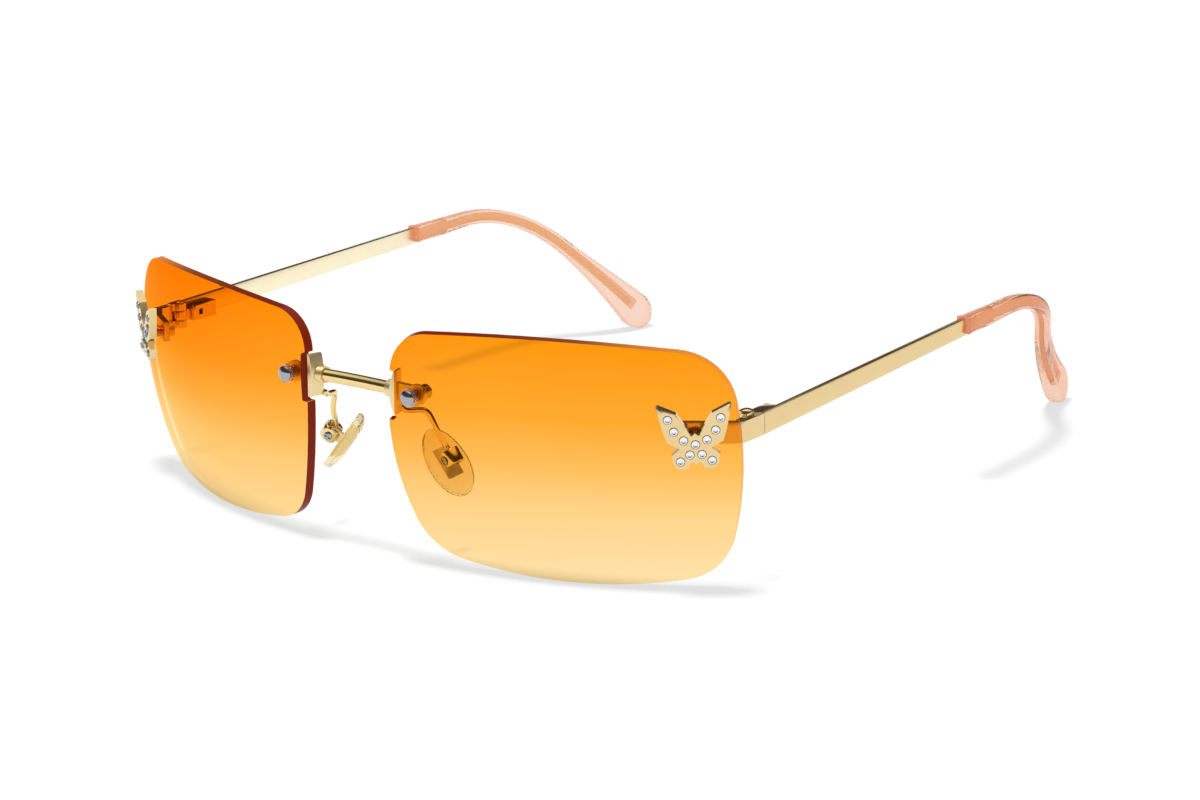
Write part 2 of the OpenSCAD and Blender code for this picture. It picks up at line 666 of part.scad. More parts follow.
// Faceted crown on a round girdle that fills its seat
module stone() rotate([90, 0, 0]) {
    cylinder(d = stone_d, h = seat_depth, $fn = fine);
    translate([0, 0, seat_depth]) cylinder(d1 = stone_d, d2 = stone_d / 2, h = stone_d / 4, $fn = fine);
}

module rhinestones(side) color("white") placed(side) charm_frame()
    for (s = stone_spots)
        translate([s[0] * charm_scale, seat_depth - seat_gap - charm_t, s[1] * charm_scale]) stone();

module charm_bushing(side) color(clear, 0.6) placed(side) post_frame() difference() {
    rod(sleeve_d, seat_gap, lens_t);
    rod(post_d + 2 * fit_gap, -lens_t, 2 * lens_t);
}

module charm_nut(side) color(gold) placed(side)
    post_frame() barrel_nut(nut_d, post_d, charm_nut_y, charm_nut_len);

module endpiece(side) color(satin_gold) placed(side) difference() {
    translate([0, 0, band_z - band_h / 2]) linear_extrude(band_h) polygon(ribbon(band_path, band_t));
    post_frame() rod(post_d + 2 * fit_gap, 0, charm_nut_y + band_t);
}

module hinge_fork(side) color(gold) placed(side) hinge_frame() difference() {
    eye_h = (barrel_h - tang_h) / 2 - knuckle_gap;
    union() {
        translate([wall_x - leaf_t, -leaf_len - hinge_set, -band_h / 2])
            cube([leaf_t, leaf_len + leaf_over, band_h]);
        for (z = [-barrel_h / 2, barrel_h / 2 - eye_h]) translate([0, 0, z]) {
            cylinder(d = knuckle_d, h = eye_h, $fn = fine);
            translate([0, -hinge_set, 0]) cube([wall_x, hinge_set, eye_h]);
        }
    }
    translate([0, 0, -barrel_h]) cylinder(d = hinge_screw_d + 2 * fit_gap, h = 2 * barrel_h, $fn = fine);
}

module hinge_screw(side) color(steel) placed(side) hinge_frame() {
    translate([0, 0, -barrel_h / 2]) cylinder(d = hinge_screw_d, h = barrel_h, $fn = fine);
    translate([0, 0, barrel_h / 2]) domed_head(hinge_head_d, hinge_head_h);
}

module hinge_tang(side) color(gold) placed(side) temple_frame() difference() {
    union() {
        translate([0, 0, -tang_h / 2]) cylinder(d = knuckle_d, h = tang_h, $fn = fine);
        translate([-knuckle_d * 0.3, 0, -tang_h / 2]) cube([knuckle_d * 0.6, box_y - seat_gap, tang_h]);
        rod(rod_d, box_y - 2 * seat_gap, rod_end);
        rod(rod_head_d, rod_end - rod_head_t, rod_end);
    }
    translate([0, 0, -barrel_h]) cylinder(d = hinge_screw_d + 2 * fit_gap, h = 2 * barrel_h, $fn = fine);
}

module hinge_spring(side) color(steel) placed(side) temple_frame() {
    r = rod_head_d / 2 - spring_wire / 2;
    start = rod_end - rod_head_t - seat_gap - spring_wire / 2 - spring_len + spring_wire;
    steps = spring_turns * 12;
    skin(tube([for (k = [0:steps]) let (a = 30 * k)
               [r * cos(a), start + (spring_len - spring_wire) * k / steps, r * sin(a)]],
              spring_wire / 2, 6));
}

module spring_box(side) color(gold) placed(side) temple_frame() difference() {
    translate([-box_w / 2, box_y, -box_h / 2]) cube([box_w, box_len, box_h]);
    translate([box_wall - box_w / 2, box_y + shoulder_t, box_wall - box_h / 2])
        cube([box_w - 2 * box_wall, box_len - shoulder_t - box_wall, box_h - 2 * box_wall]);
    rod(rod_d + 4 * fit_gap, 0, box_y + box_len / 2);
    translate([-box_w, box_y + box_len * 0.25, -window / 2]) cube([box_w, window, window]);
}

module temple(side) color(satin_gold) placed(side) temple_frame() {
    low = ear_point(-seat_gap, 0, -strip_end_h / 2);
    high = ear_point(-seat_gap, 0, strip_end_h / 2);
    translate([strip_x - strip_t / 2, 0, 0]) rotate([90, 0, 90]) linear_extrude(strip_t)
        polygon([[strip_y, -band_h / 2], [low[1], low[2]], [high[1], high[2]], [strip_y, band_h / 2]]);
    core(0, 0, 0);
}

// Wire core in the sleeve: a taller root, then a slim run round the ear. Its channel has room all round,
// rises over the core along the drop and runs on past its end
module core(room, rise, run) {
    reach = core_end + run - core_step;
    skin([for (s = [-1, core_step / 2, core_step + room]) core_ring(s, core_root_h, room, 0)]);
    skin([for (s = concat([core_step - 1], [for (k = [0:20]) core_step + reach * k / 20]))
          core_ring(s, core_h, room, rise * max(s - drop_s, 0) / (core_end - drop_s))]);
}

module temple_tip(side) color("#f2a57c", 0.75) placed(side) temple_frame() difference() {
    skin(tip_rings);
    core(core_inset, slot_rise, slot_run);
}

lens(left);  // lens_left
lens(right);  // lens_right
bridge_bar();
bridge_mount(left);  // bridge_mount_left
bridge_mount(right);  // bridge_mount_right
lens_bushing(left);  // lens_bushing_left
lens_bushing(right);  // lens_bushing_right
lens_screw(left);  // lens_screw_left
lens_screw(right);  // lens_screw_right
lens_nut(left);  // lens_nut_left
lens_nut(right);  // lens_nut_right
pad_arm(left);  // pad_arm_left
pad_arm(right);  // pad_arm_right
pad_clamp(left);  // pad_clamp_left
pad_clamp(right);  // pad_clamp_right
pad_screw(left);  // pad_screw_left
pad_screw(right);  // pad_screw_right
pad_insert(left);  // pad_insert_left
pad_insert(right);  // pad_insert_right
nose_pad(left);  // nose_pad_left
nose_pad(right);  // nose_pad_right
butterfly(left);  // butterfly_left
butterfly(right);  // butterfly_right
rhinestones(left);  // rhinestones_left
rhinestones(right);  // rhinestones_right
charm_bushing(left);  // charm_bushing_left
charm_bushing(right);  // charm_bushing_right
charm_nut(left);  // charm_nut_left
charm_nut(right);  // charm_nut_right
endpiece(left);  // endpiece_left
endpiece(right);  // endpiece_right
hinge_fork(left);  // hinge_fork_left
hinge_fork(right);  // hinge_fork_right
hinge_screw(left);  // hinge_screw_left
hinge_screw(right);  // hinge_screw_right
hinge_tang(left);  // hinge_tang_left
hinge_tang(right);  // hinge_tang_right
hinge_spring(left);  // hinge_spring_left
hinge_spring(right);  // hinge_spring_right
spring_box(left);  // spring_box_left
spring_box(right);  // spring_box_right
temple(left);  // temple_left
temple(right);  // temple_right
temple_tip(left);  // temple_tip_left
temple_tip(right);  // temple_tip_right
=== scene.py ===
import math

import bpy
import bmesh
from bpy.props import FloatProperty, FloatVectorProperty, IntProperty, PointerProperty
from mathutils import Matrix, Vector


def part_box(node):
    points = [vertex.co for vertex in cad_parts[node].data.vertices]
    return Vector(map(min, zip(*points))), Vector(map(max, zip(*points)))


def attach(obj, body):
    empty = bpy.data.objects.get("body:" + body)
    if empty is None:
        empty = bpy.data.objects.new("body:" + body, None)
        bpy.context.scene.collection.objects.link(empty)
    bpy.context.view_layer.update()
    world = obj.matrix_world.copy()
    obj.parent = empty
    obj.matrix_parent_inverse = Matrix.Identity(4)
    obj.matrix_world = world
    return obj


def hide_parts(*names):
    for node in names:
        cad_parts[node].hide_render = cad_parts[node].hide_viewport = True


bl_info = {
    "name": "Rimless sunglasses",
    "version": (1, 0, 0),
    "blender": (4, 5, 0),
    "location": "View3D > Sidebar > Sunglasses",
    "description": "Dresses the packed CAD model of a pair of rimless sunglasses with butterfly charms",
    "category": "Object",
}

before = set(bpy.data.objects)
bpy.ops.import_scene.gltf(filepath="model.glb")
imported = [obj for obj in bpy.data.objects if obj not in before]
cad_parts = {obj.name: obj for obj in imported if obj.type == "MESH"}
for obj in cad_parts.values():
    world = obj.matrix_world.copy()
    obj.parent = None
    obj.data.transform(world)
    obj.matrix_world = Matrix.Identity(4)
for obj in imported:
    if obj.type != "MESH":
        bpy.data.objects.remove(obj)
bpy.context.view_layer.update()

MM = 0.001
# Centre of the left lens dome: screws and posts through the lens point at it
DOME = Vector((9.266, 8.974, 30.396)) * MM
# Where the dye of a lens starts, near its bottom, and where it is full, near its top
LENS_HEIGHTS = (2 * MM, 41.5 * MM)
# Pad frame: its turn and the middle of its clamp
PAD_TURN = Matrix.Rotation(math.radians(-38.5), 4, "Y") @ Matrix.Rotation(math.radians(-22.8), 4, "Z")
CLAMP = Vector((13.328, -67.711, 17.017)) * MM
PAD_SIDES = 40
# Closer than this, two points are one
NEAR = 1e-6
# The camera and the point it looks at, fitted to the photograph
CAMERA = Vector((342.923, -480.426, 174.113)) * MM
CAMERA_AIM = Vector((11.013, -22.28, 16.332)) * MM
# Metres
LAMP = (0, -0.26, 1.2)
LAMP_SIZE = 0.2
TABLE_RADIUS = 3
EVEN = (1, 1, 1)
WHITE = (1, 1, 1, 1)
SIDES = (("left", 1), ("right", -1))


def linear(code):
    """An sRGB hex colour as linear RGBA"""
    parts = [int(code[i:i + 2], 16) / 255 for i in (1, 3, 5)]
    return [p / 12.92 if p <= 0.04045 else ((p + 0.055) / 1.055) ** 2.4 for p in parts] + [1]


def colour(name, code, text):
    return FloatVectorProperty(name=name, description=text, default=linear(code), size=4, subtype="COLOR",
                               min=0, max=1)


def length(name, mm, text):
    return FloatProperty(name=name, description=text, default=mm * MM, min=0, unit="LENGTH", precision=5)


def share(name, value, text):
    return FloatProperty(name=name, description=text, default=value, min=0, max=1, subtype="FACTOR")


class LensSettings(bpy.types.PropertyGroup):
    """Dyed lenses with ground edges"""
    tint_top: colour("Tint, top", "#FE980E", "Tint at the top of the lens, seen against white")
    tint_upper: colour("Tint, upper", "#FEA92F", "Tint at two thirds of the height")
    tint_middle: colour("Tint, middle", "#FEBE5A", "Tint at half the height")
    tint_lower: colour("Tint, lower", "#FED48B", "Tint at a quarter of the height")
    tint_bottom: colour("Tint, bottom", "#FEE2AB", "Tint at the bottom")
    edge: colour("Ground edge, nose", "#8E2408", "Colour of the ground edge next to the nose, where it is dense")
    edge_second: colour("Ground edge, second", "#8E2C12", "Colour of the ground edge at a third of the way out")
    edge_third: colour("Ground edge, third", "#A34E24", "Colour of the ground edge half the way out")
    edge_fourth: colour("Ground edge, fourth", "#CC9350", "Colour of the ground edge at four fifths of the way out")
    edge_side: colour("Ground edge, outer", "#E6C892", "Colour of the ground edge at the outer end, where it is thin")
    safety_bevel: length("Safety bevel", 0.14, "Width of the polished bevel along the edge")


class MetalSettings(bpy.types.PropertyGroup):
    """Gold plating and steel"""
    polished: colour("Polished gold", "#F1D79A", "Plating of the bridge, the pad arms and the hinge parts")
    satin: colour("Satin gold", "#E9CF9A", "Plating of the endpieces, temples and charms")
    mount: colour("Mount gold", "#F2DEAA", "Plating of the mount plates and pad inserts")
    # Painted highlight: a paler gold that makes the temples' inner faces and cores read brighter than the rest of the
    # plating
    painted_highlight: colour("Gold, painted highlight", "#FFF5D3", "Plating of the temples' inner faces and cores")
    screw: colour("Screw steel", "#A8ABB2", "Steel of the screws")
    polished_rough: share("Polished roughness", 0.13, "Roughness of the polished plating")
    satin_rough: share("Satin roughness", 0.24, "Roughness of the satin plating")
    break_width: length("Edge break", 0.12, "Width of the rounded edges")
    ridges: IntProperty(name="Nut ridges", description="Ridges round a nut", default=30, min=12, max=60)


class PlasticSettings(bpy.types.PropertyGroup):
    """Tips, pads and clear sleeves"""
    tip: colour("Tip", "#FCDBC8", "Colour of the tip plastic, looked at straight")
    tip_deep: colour("Tip, deep", "#F09C70", "Colour of the tip plastic along its outline")
    tip_end: colour("Tip end", "#FFA078", "Colour of the cut front end of the tip")
    nylon: colour("Nylon", "#F4F6F7", "Colour of the clear sleeves in the lens holes")
    pad: colour("Pad", "#F8EBC4", "Colour of the soft pads")
    pad_length: length("Pad length", 12.9, "Length of the soft pad")
    pad_width: length("Pad width", 7.7, "Width of the soft pad")
    pad_depth: length("Pad depth", 2.2, "Thickness of the soft pad")
    pad_offset: length("Pad offset", 3.15, "Distance of the middle of the pad from the middle of the clamp")


class StoneSettings(bpy.types.PropertyGroup):
    """Cut glass stones"""
    diameter: length("Diameter", 1.42, "Diameter at the girdle")
    crown: length("Crown", 0.34, "Height of the crown over the girdle")
    facets: IntProperty(name="Facets", description="Facets round the crown", default=12, min=6, max=16)
    foil: colour("Foil", "#F4F6FA", "Silver foil behind the stone")
    # Painted shade: the dark ring round each stone's girdle
    girdle: colour("Girdle", "#4A4440", "Painted shade round the girdle")


class StageSettings(bpy.types.PropertyGroup):
    """Table, lamp and camera"""
    floor: colour("Table", "#FFFFFF", "Colour of the table")
    cloud: colour("Table, clouds", "#FBFBFB", "Colour of the faint clouds in the table top")
    room: colour("Room", "#4A4238", "What bright metal mirrors above the table")
    ambient: FloatProperty(name="Ambient", description="Strength of the light from all round", default=0.64, min=0)
    lamp: FloatProperty(name="Lamp", description="Power of the soft lamp", default=4.2, min=0, unit="POWER")
    focal: FloatProperty(name="Focal length", description="Focal length on a 36 mm sensor", default=98.24,
                         min=20, unit="CAMERA")


# ---------------------------------------------------------------- materials

def add(tree, kind, settings=(), links=()):
    """Adds a node with its settings (inputs start with a capital or are numbers) and its links"""
    item = tree.nodes.new(kind)
    for key, value in dict(settings).items():
        if isinstance(key, int) or key[0].isupper():
            item.inputs[key].default_value = value
        else:
            setattr(item, key, value)
    for key, source in dict(links).items():
        tree.links.new(source, item.inputs[key])
    return item


def material(name):
    """A material of that name without nodes, and its tree"""
    made = bpy.data.materials.new(name)
    made.use_nodes = True
    made.node_tree.nodes.clear()
    return made, made.node_tree


def finish(made, shader):
    """Joins a shader to the output of its material"""
    add(made.node_tree, "ShaderNodeOutputMaterial", (), {0: shader.outputs[0]})
    return made


def grain(tree, scale, detail=2, stretch=EVEN):
    """Noise of that many spots to the metre, stretched along an axis"""
    place = add(tree, "ShaderNodeTexCoord")
    turned = add(tree, "ShaderNodeMapping", {"Scale": stretch}, {"Vector": place.outputs["Object"]})
    return add(tree, "ShaderNodeTexNoise", {"Scale": scale, "Detail": detail},
               {"Vector": turned.outputs[0]}).outputs[0]


def position(tree):
    """X, Y and Z in the part's frame"""
    place = add(tree, "ShaderNodeTexCoord")
    return add(tree, "ShaderNodeSeparateXYZ", (), {0: place.outputs["Object"]}).outputs


def remap(tree, source, low, high, to_low=0.0, to_high=1.0):
    """Takes low to high over to another range, and stops at its ends"""
    return add(tree, "ShaderNodeMapRange", {1: low, 2: high, 3: to_low, 4: to_high}, {0: source}).outputs[0]


def larger(tree, one, other):
    return add(tree, "ShaderNodeMath", {"operation": "MAXIMUM"}, {0: one, 1: other}).outputs[0]


def bump(tree, source, strength, height):
    """A fine relief of that height"""
    return add(tree, "ShaderNodeBump", {"Strength": strength, "Distance": height}, {"Height": source}).outputs[0]


def slant(tree):
    """0 where a face is looked at straight, 1 along its outline"""
    return add(tree, "ShaderNodeLayerWeight", {"Blend": 0.5}).outputs["Facing"]


def ramp(tree, source, stops):
    """Runs through colours, each at its place from 0 to 1"""
    item = add(tree, "ShaderNodeValToRGB", (), {0: source})
    while len(item.color_ramp.elements) < len(stops):
        item.color_ramp.elements.new(0.5)
    for stop, (at, seen) in zip(item.color_ramp.elements, stops):
        stop.position = at
        stop.color = seen
    return item.outputs[0]


def metal(name, base, rough, spread, scale, stretch=EVEN, height=0.002 * MM):
    """Plated metal: roughness varies a little with the finish, a fine relief, and with wear in spots of 4 mm"""
    made, tree = material(name)
    marks = grain(tree, scale, 3, stretch)
    wear = grain(tree, 260)
    mixed = add(tree, "ShaderNodeMath", {"operation": "MULTIPLY"}, {0: marks, 1: wear})
    level = remap(tree, mixed.outputs[0], 0.1, 0.45, rough - spread, rough + spread)
    tone = add(tree, "ShaderNodeMix", {"data_type": "RGBA", "blend_type": "MULTIPLY", 6: base,
                                       7: (0.97, 0.955, 0.93, 1)}, {0: wear})
    return finish(made, add(tree, "ShaderNodeBsdfPrincipled", {"Metallic": 1.0},
                            {"Base Color": tone.outputs[2], "Roughness": level,
                             "Normal": bump(tree, marks, 0.3, height)}))


def metal_finishes(metals, stones):
    made = {}
    # Gold plated brass, polished: a mirror with faint lines from the polishing wheel, 0.6 mm apart
    made["polished_gold"] = metal("Polished gold plate", metals.polished, metals.polished_rough, 0.05,
                                  1800, (1, 0.35, 1))
    # Gold plated nickel silver, satin: brushed along its length, lines 0.3 mm apart
    made["satin_gold"] = metal("Satin gold plate", metals.satin, metals.satin_rough, 0.035, 3200, (1, 0.06, 1))
    # Mount plates and pad inserts, tumbled before plating: an even satin with spots of 0.4 mm
    made["mount_gold"] = metal("Satin gold plate, tumbled", metals.mount, metals.satin_rough + 0.2, 0.03, 2400)
    # The same plating on cores and inner faces, painted paler and evenly bright: a painted highlight that makes one
    # side of each temple brighter than the other
    made["painted_highlight_gold"] = metal("Gold plate, painted highlight", metals.painted_highlight, metals.satin_rough + 0.06, 0.03, 2400)
    # Turned stainless steel: fine turning marks, 0.4 mm apart, in a cool grey mirror
    made["steel"] = metal("Turned stainless steel", metals.screw, 0.2, 0.05, 2600)
    # Silver foil glued behind a stone, creased in spots of 0.4 mm
    made["foil"] = metal("Silver foil", stones.foil, 0.16, 0.04, 2500, height=0.01 * MM)
    # Painted shade: a dark ring round the girdle of each stone, where the stone meets its seat
    made["girdle"] = metal("Girdle painted shade", stones.girdle, 0.4, 0.05, 2500, height=0.01 * MM)
    return made


def dye(tree, lens):
    """Tint of the lens from its bottom to its top"""
    height = remap(tree, position(tree)["Z"], *LENS_HEIGHTS)
    return ramp(tree, height, ((0.0, lens.tint_bottom), (0.28, lens.tint_lower), (0.48, lens.tint_middle),
                               (0.68, lens.tint_upper), (1.0, lens.tint_top)))


def lens_face(lens):
    # Polycarbonate dyed by dipping: its faces take more dye upwards, and a slanted look through it is deeper.
    # A low IOR stands for the antireflection coating, which leaves the colour free of white glare
    made, tree = material("Dyed polycarbonate")
    longer = remap(tree, slant(tree), 0.12, 0.6, 1.0, 1.4)
    tint = add(tree, "ShaderNodeGamma", (), {"Color": dye(tree, lens), "Gamma": longer})
    return finish(made, add(tree, "ShaderNodeBsdfPrincipled",
                            {"Roughness": 0.0, "IOR": 1.01, "Transmission Weight": 1.0},
                            {"Base Color": tint.outputs[0]}))


def lens_edge(lens):
    # Ground edge of the lens, matt from the wheel in marks 0.4 mm apart. The dye of the whole lens adds up in it:
    # dark red next to the nose, light sand at the outer end, where the edge is also clearer.
    # From inside it only lets light out, so no dark band shows through the face
    made, tree = material("Ground lens edge")
    marks = grain(tree, 2500, 3, (1, 1, 0.3))
    out_by = add(tree, "ShaderNodeMath", {"operation": "ABSOLUTE"}, {0: position(tree)["X"]}).outputs[0]
    run = ramp(tree, remap(tree, out_by, 9 * MM, 69 * MM),
               ((0.0, lens.edge), (0.3, lens.edge_second), (0.55, lens.edge_third), (0.8, lens.edge_fourth),
                (1.0, lens.edge_side)))
    tone = add(tree, "ShaderNodeMix", {"data_type": "RGBA", "blend_type": "MULTIPLY", 7: linear("#DDDDDD")},
               {0: marks, 6: run})
    matt = add(tree, "ShaderNodeBsdfPrincipled", {"Roughness": 0.25, "IOR": 1.2},
               {"Base Color": tone.outputs[2], "Normal": bump(tree, marks, 0.25, 0.01 * MM)})
    half = add(tree, "ShaderNodeGamma", {"Gamma": 0.6}, {"Color": dye(tree, lens)})
    leaving = add(tree, "ShaderNodeBsdfTransparent", (), {"Color": half.outputs[0]})
    inside = add(tree, "ShaderNodeNewGeometry").outputs["Backfacing"]
    clear = larger(tree, inside, remap(tree, out_by, 42 * MM, 62 * MM, 0.0, 0.8))
    return finish(made, add(tree, "ShaderNodeMixShader", (),
                            {0: clear, 1: matt.outputs[0], 2: leaving.outputs[0]}))


def tip_body(plastics):
    # Acetate sleeve, polished: clear, its coral dye adds up along the outline, faint flow streaks 2 mm apart
    made, tree = material("Dyed clear acetate")
    streaks = grain(tree, 420, 2, (1, 0.12, 1))
    tint = add(tree, "ShaderNodeMix", {"data_type": "RGBA", 6: plastics.tip, 7: plastics.tip_deep},
               {0: remap(tree, slant(tree), 0.35, 0.95)})
    return finish(made, add(tree, "ShaderNodeBsdfPrincipled", {"IOR": 1.12, "Transmission Weight": 0.94},
                            {"Base Color": tint.outputs[2],
                             "Roughness": remap(tree, streaks, 0.3, 0.7, 0.02, 0.08),
                             "Normal": bump(tree, streaks, 0.2, 0.04 * MM)}))


def tip_end(plastics):
    # The sawn front end of the sleeve: the same acetate, matt, coral from the whole length behind it,
    # with saw marks 0.5 mm apart
    made, tree = material("Sawn acetate end")
    marks = grain(tree, 2200, 3, (1, 1, 0.3))
    return finish(made, add(tree, "ShaderNodeBsdfPrincipled",
                            {"Base Color": plastics.tip_end, "Roughness": 0.35, "IOR": 1.3,
                             "Transmission Weight": 0.15}, {"Normal": bump(tree, marks, 0.25, 0.01 * MM)}))


def silicone(plastics):
    # Soft silicone: clear and a little yellow, with a skin of fine texture, 0.3 mm
    made, tree = material("Clear silicone")
    return finish(made, add(tree, "ShaderNodeBsdfPrincipled",
                            {"Base Color": plastics.pad, "Roughness": 0.1, "IOR": 1.25,
                             "Transmission Weight": 0.92}, {"Normal": bump(tree, grain(tree, 3000), 0.3, 0.01 * MM)}))


def nylon(plastics):
    # Moulded clear nylon: small sleeves and flanges, slightly hazy in spots of 0.7 mm
    made, tree = material("Clear nylon")
    return finish(made, add(tree, "ShaderNodeBsdfPrincipled",
                            {"Base Color": plastics.nylon, "IOR": 1.5, "Transmission Weight": 0.95},
                            {"Roughness": remap(tree, grain(tree, 1500), 0.3, 0.7, 0.04, 0.16)}))


def crystal():
    # Cut glass: sharp, clear and bright over its foil, with faint polishing haze in spots of 1 mm
    made, tree = material("Cut crystal glass")
    return finish(made, add(tree, "ShaderNodeBsdfPrincipled",
                            {"Base Color": (1, 1, 1, 1), "IOR": 1.6, "Transmission Weight": 1.0},
                            {"Roughness": remap(tree, grain(tree, 900, 1), 0.4, 0.8, 0.0, 0.05)}))


def make_materials(scene):
    """All finishes, by name"""
    lens, plastics = scene.lens_settings, scene.plastic_settings
    made = metal_finishes(scene.metal_settings, scene.stone_settings)
    made.update(lens_face=lens_face(lens), lens_edge=lens_edge(lens), tip=tip_body(plastics),
                tip_end=tip_end(plastics), pad=silicone(plastics), clear=nylon(plastics), crystal=crystal())
    return made


finishes = {}


# ---------------------------------------------------------------- working with meshes

def start():
    """Leaves nothing selected before a primitive is added"""
    if bpy.context.object and bpy.context.object.mode != "OBJECT":
        bpy.ops.object.mode_set(mode="OBJECT")
    bpy.ops.object.select_all(action="DESELECT")


def pick(piece):
    """Selects only this piece"""
    start()
    piece.select_set(True)
    bpy.context.view_layer.objects.active = piece


def edit(piece):
    """Opens a piece for work on its faces, none of them selected"""
    pick(piece)
    bpy.ops.object.mode_set(mode="EDIT")
    bpy.ops.mesh.select_mode(type="FACE")
    bpy.ops.mesh.select_all(action="DESELECT")
    return bmesh.from_edit_mesh(piece.data)


def done():
    bpy.ops.object.mode_set(mode="OBJECT")


def select(mesh, test):
    """Selects the faces of an edit mesh that pass a test"""
    for face in mesh.faces:
        face.select_set(test(face))


def copy_of(name, node):
    """A copy of a CAD node with its loose triangles merged"""
    pick(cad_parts[node])
    bpy.ops.object.duplicate()
    piece = bpy.context.object
    piece.parent = None
    for key in [k for k in piece.keys() if k.startswith("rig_")]:
        del piece[key]
    piece.name = name
    piece.data.materials.clear()
    bpy.ops.mesh.customdata_custom_splitnormals_clear()
    edit(piece)
    bpy.ops.mesh.select_all(action="SELECT")
    bpy.ops.mesh.remove_doubles(threshold=NEAR)
    bpy.ops.mesh.normals_make_consistent(inside=False)
    done()
    return piece


def modify(piece, kind, **settings):
    """Adds a modifier with its settings and applies it"""
    pick(piece)
    item = piece.modifiers.new(kind.title(), kind)
    for key, value in settings.items():
        setattr(item, key, value)
    bpy.ops.object.modifier_apply(modifier=item.name)


def bevel(piece, width, segments=2, angle=35, mark=-1):
    """Rounds edges sharper than an angle; mark is the material slot of the new faces"""
    modify(piece, "BEVEL", width=width, segments=segments, limit_method="ANGLE", angle_limit=math.radians(angle),
           material=mark)


def smooth(piece, angle=32):
    """Shades smooth, but for edges sharper than an angle"""
    pick(piece)
    bpy.ops.object.shade_smooth_by_angle(angle=math.radians(angle))


def settle(piece, matrix):
    """Puts a piece in its place, in its mesh"""
    pick(piece)
    piece.matrix_world = matrix @ piece.matrix_world
    bpy.ops.object.transform_apply(location=True, rotation=True, scale=True)


def mirrored(piece, name):
    """The right-hand twin of a left-hand piece, with its own mesh"""
    pick(piece)
    bpy.ops.object.duplicate()
    twin = bpy.context.object
    twin.name = name
    bpy.ops.transform.resize(value=(-1, 1, 1), center_override=(0, 0, 0))
    bpy.ops.object.transform_apply(location=True, rotation=True, scale=True)
    edit(twin)
    bpy.ops.mesh.select_all(action="SELECT")
    bpy.ops.mesh.normals_make_consistent(inside=False)
    done()
    return twin


def paint(piece, *names):
    """Adds finishes as material slots"""
    for name in names:
        piece.data.materials.append(finishes[name])


def hand_over(piece, body, node):
    """The piece rides on a body and stands for its CAD node"""
    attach(piece, body)
    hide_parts(node)


def dress(node, name):
    """A CAD node that keeps its shape gets its finish"""
    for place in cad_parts[node].material_slots:
        place.material = finishes[name]


def see_through(piece, mirrored_too):
    """Leaves a clear piece out of the light that matt things and, if so said, mirrors gather from around"""
    piece.visible_diffuse = False
    piece.visible_glossy = mirrored_too


def no_shadow(*pieces):
    """Keeps the shadows and glints of thin or high pieces off the table, where they would show in the lenses"""
    for piece in pieces:
        piece.visible_shadow = False
        piece.visible_diffuse = False


def middle(node):
    """Middle of a CAD node's box"""
    low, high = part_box(node)
    return (Vector(low) + Vector(high)) / 2


def facing(point, out):
    """A frame at a point with its Z along out and its X level"""
    z = out.normalized()
    x = Vector((0, 0, 1)).cross(z).normalized()
    turn = Matrix((x, z.cross(x), z)).transposed().to_4x4()
    return Matrix.Translation(point) @ turn


def soften(node, body, look, width, segments=2):
    """A copy of a CAD node with its edges broken, as tumbling and plating leave them"""
    piece = copy_of(node + "_soft", node)
    bevel(piece, width, segments)
    smooth(piece)
    paint(piece, look)
    hand_over(piece, body, node)
    return piece


def cutter(size, matrix):
    """A block to cut with, at its place"""
    start()
    bpy.ops.mesh.primitive_cube_add(size=1)
    block = bpy.context.object
    block.scale = size
    settle(block, matrix)
    return block


def cut(piece, *blocks):
    """Takes blocks away from a piece"""
    for block in blocks:
        modify(piece, "BOOLEAN", operation="DIFFERENCE", object=block, solver="EXACT")
        bpy.data.objects.remove(block)


# ---------------------------------------------------------------- pieces

class SUNGLASSES_OT_lenses(bpy.types.Operator):
    """Lenses with a polished safety bevel and a dark ground edge"""
    bl_idname = "sunglasses.lenses"
    bl_label = "Lenses"

    def execute(self, context):
        settings = context.scene.lens_settings
        for side, sign in SIDES:
            lens = copy_of("lens_%s_dyed" % side, "lens_" + side)
            paint(lens, "lens_face", "lens_edge")
            centre = Vector((DOME.x * sign, DOME.y, DOME.z))
            bores = [middle("lens_screw_" + side), middle("charm_nut_" + side)]
            # Faces across the dome are the edge, but for the walls of the bores
            for face in lens.data.polygons:
                spot = Vector(face.center)
                out = (spot - centre).normalized()
                bored = any((spot - bore).cross(out).length < 1.5 * MM for bore in bores)
                if abs(out.dot(face.normal)) < 0.6 and not bored:
                    face.material_index = 1
            bevel(lens, settings.safety_bevel, segments=1, angle=40, mark=0)
            smooth(lens, 25)
            see_through(lens, False)
            hand_over(lens, "front", "lens_" + side)
        return {"FINISHED"}


def ridged_nut(name, node, bore, reach, ridges):
    """A turned nut with raised ridges round it, on the axis of its lens bore"""
    centre = middle(node)
    radius, ridge, gap = 1.3 * MM, 0.07 * MM, 0.05 * MM
    start()
    bpy.ops.mesh.primitive_cylinder_add(vertices=ridges, radius=radius - ridge, depth=reach,
                                        end_fill_type="NOTHING")
    nut = bpy.context.object
    nut.name = name
    edit(nut)
    bpy.ops.mesh.select_all(action="SELECT")
    bpy.ops.mesh.inset(thickness=gap, depth=ridge, use_individual=True)
    done()
    modify(nut, "SOLIDIFY", thickness=radius - bore - ridge, offset=-1)
    bevel(nut, 0.03 * MM, 1, 50)
    settle(nut, facing(centre, centre - DOME))
    smooth(nut, 25)
    paint(nut, "polished_gold")
    return nut


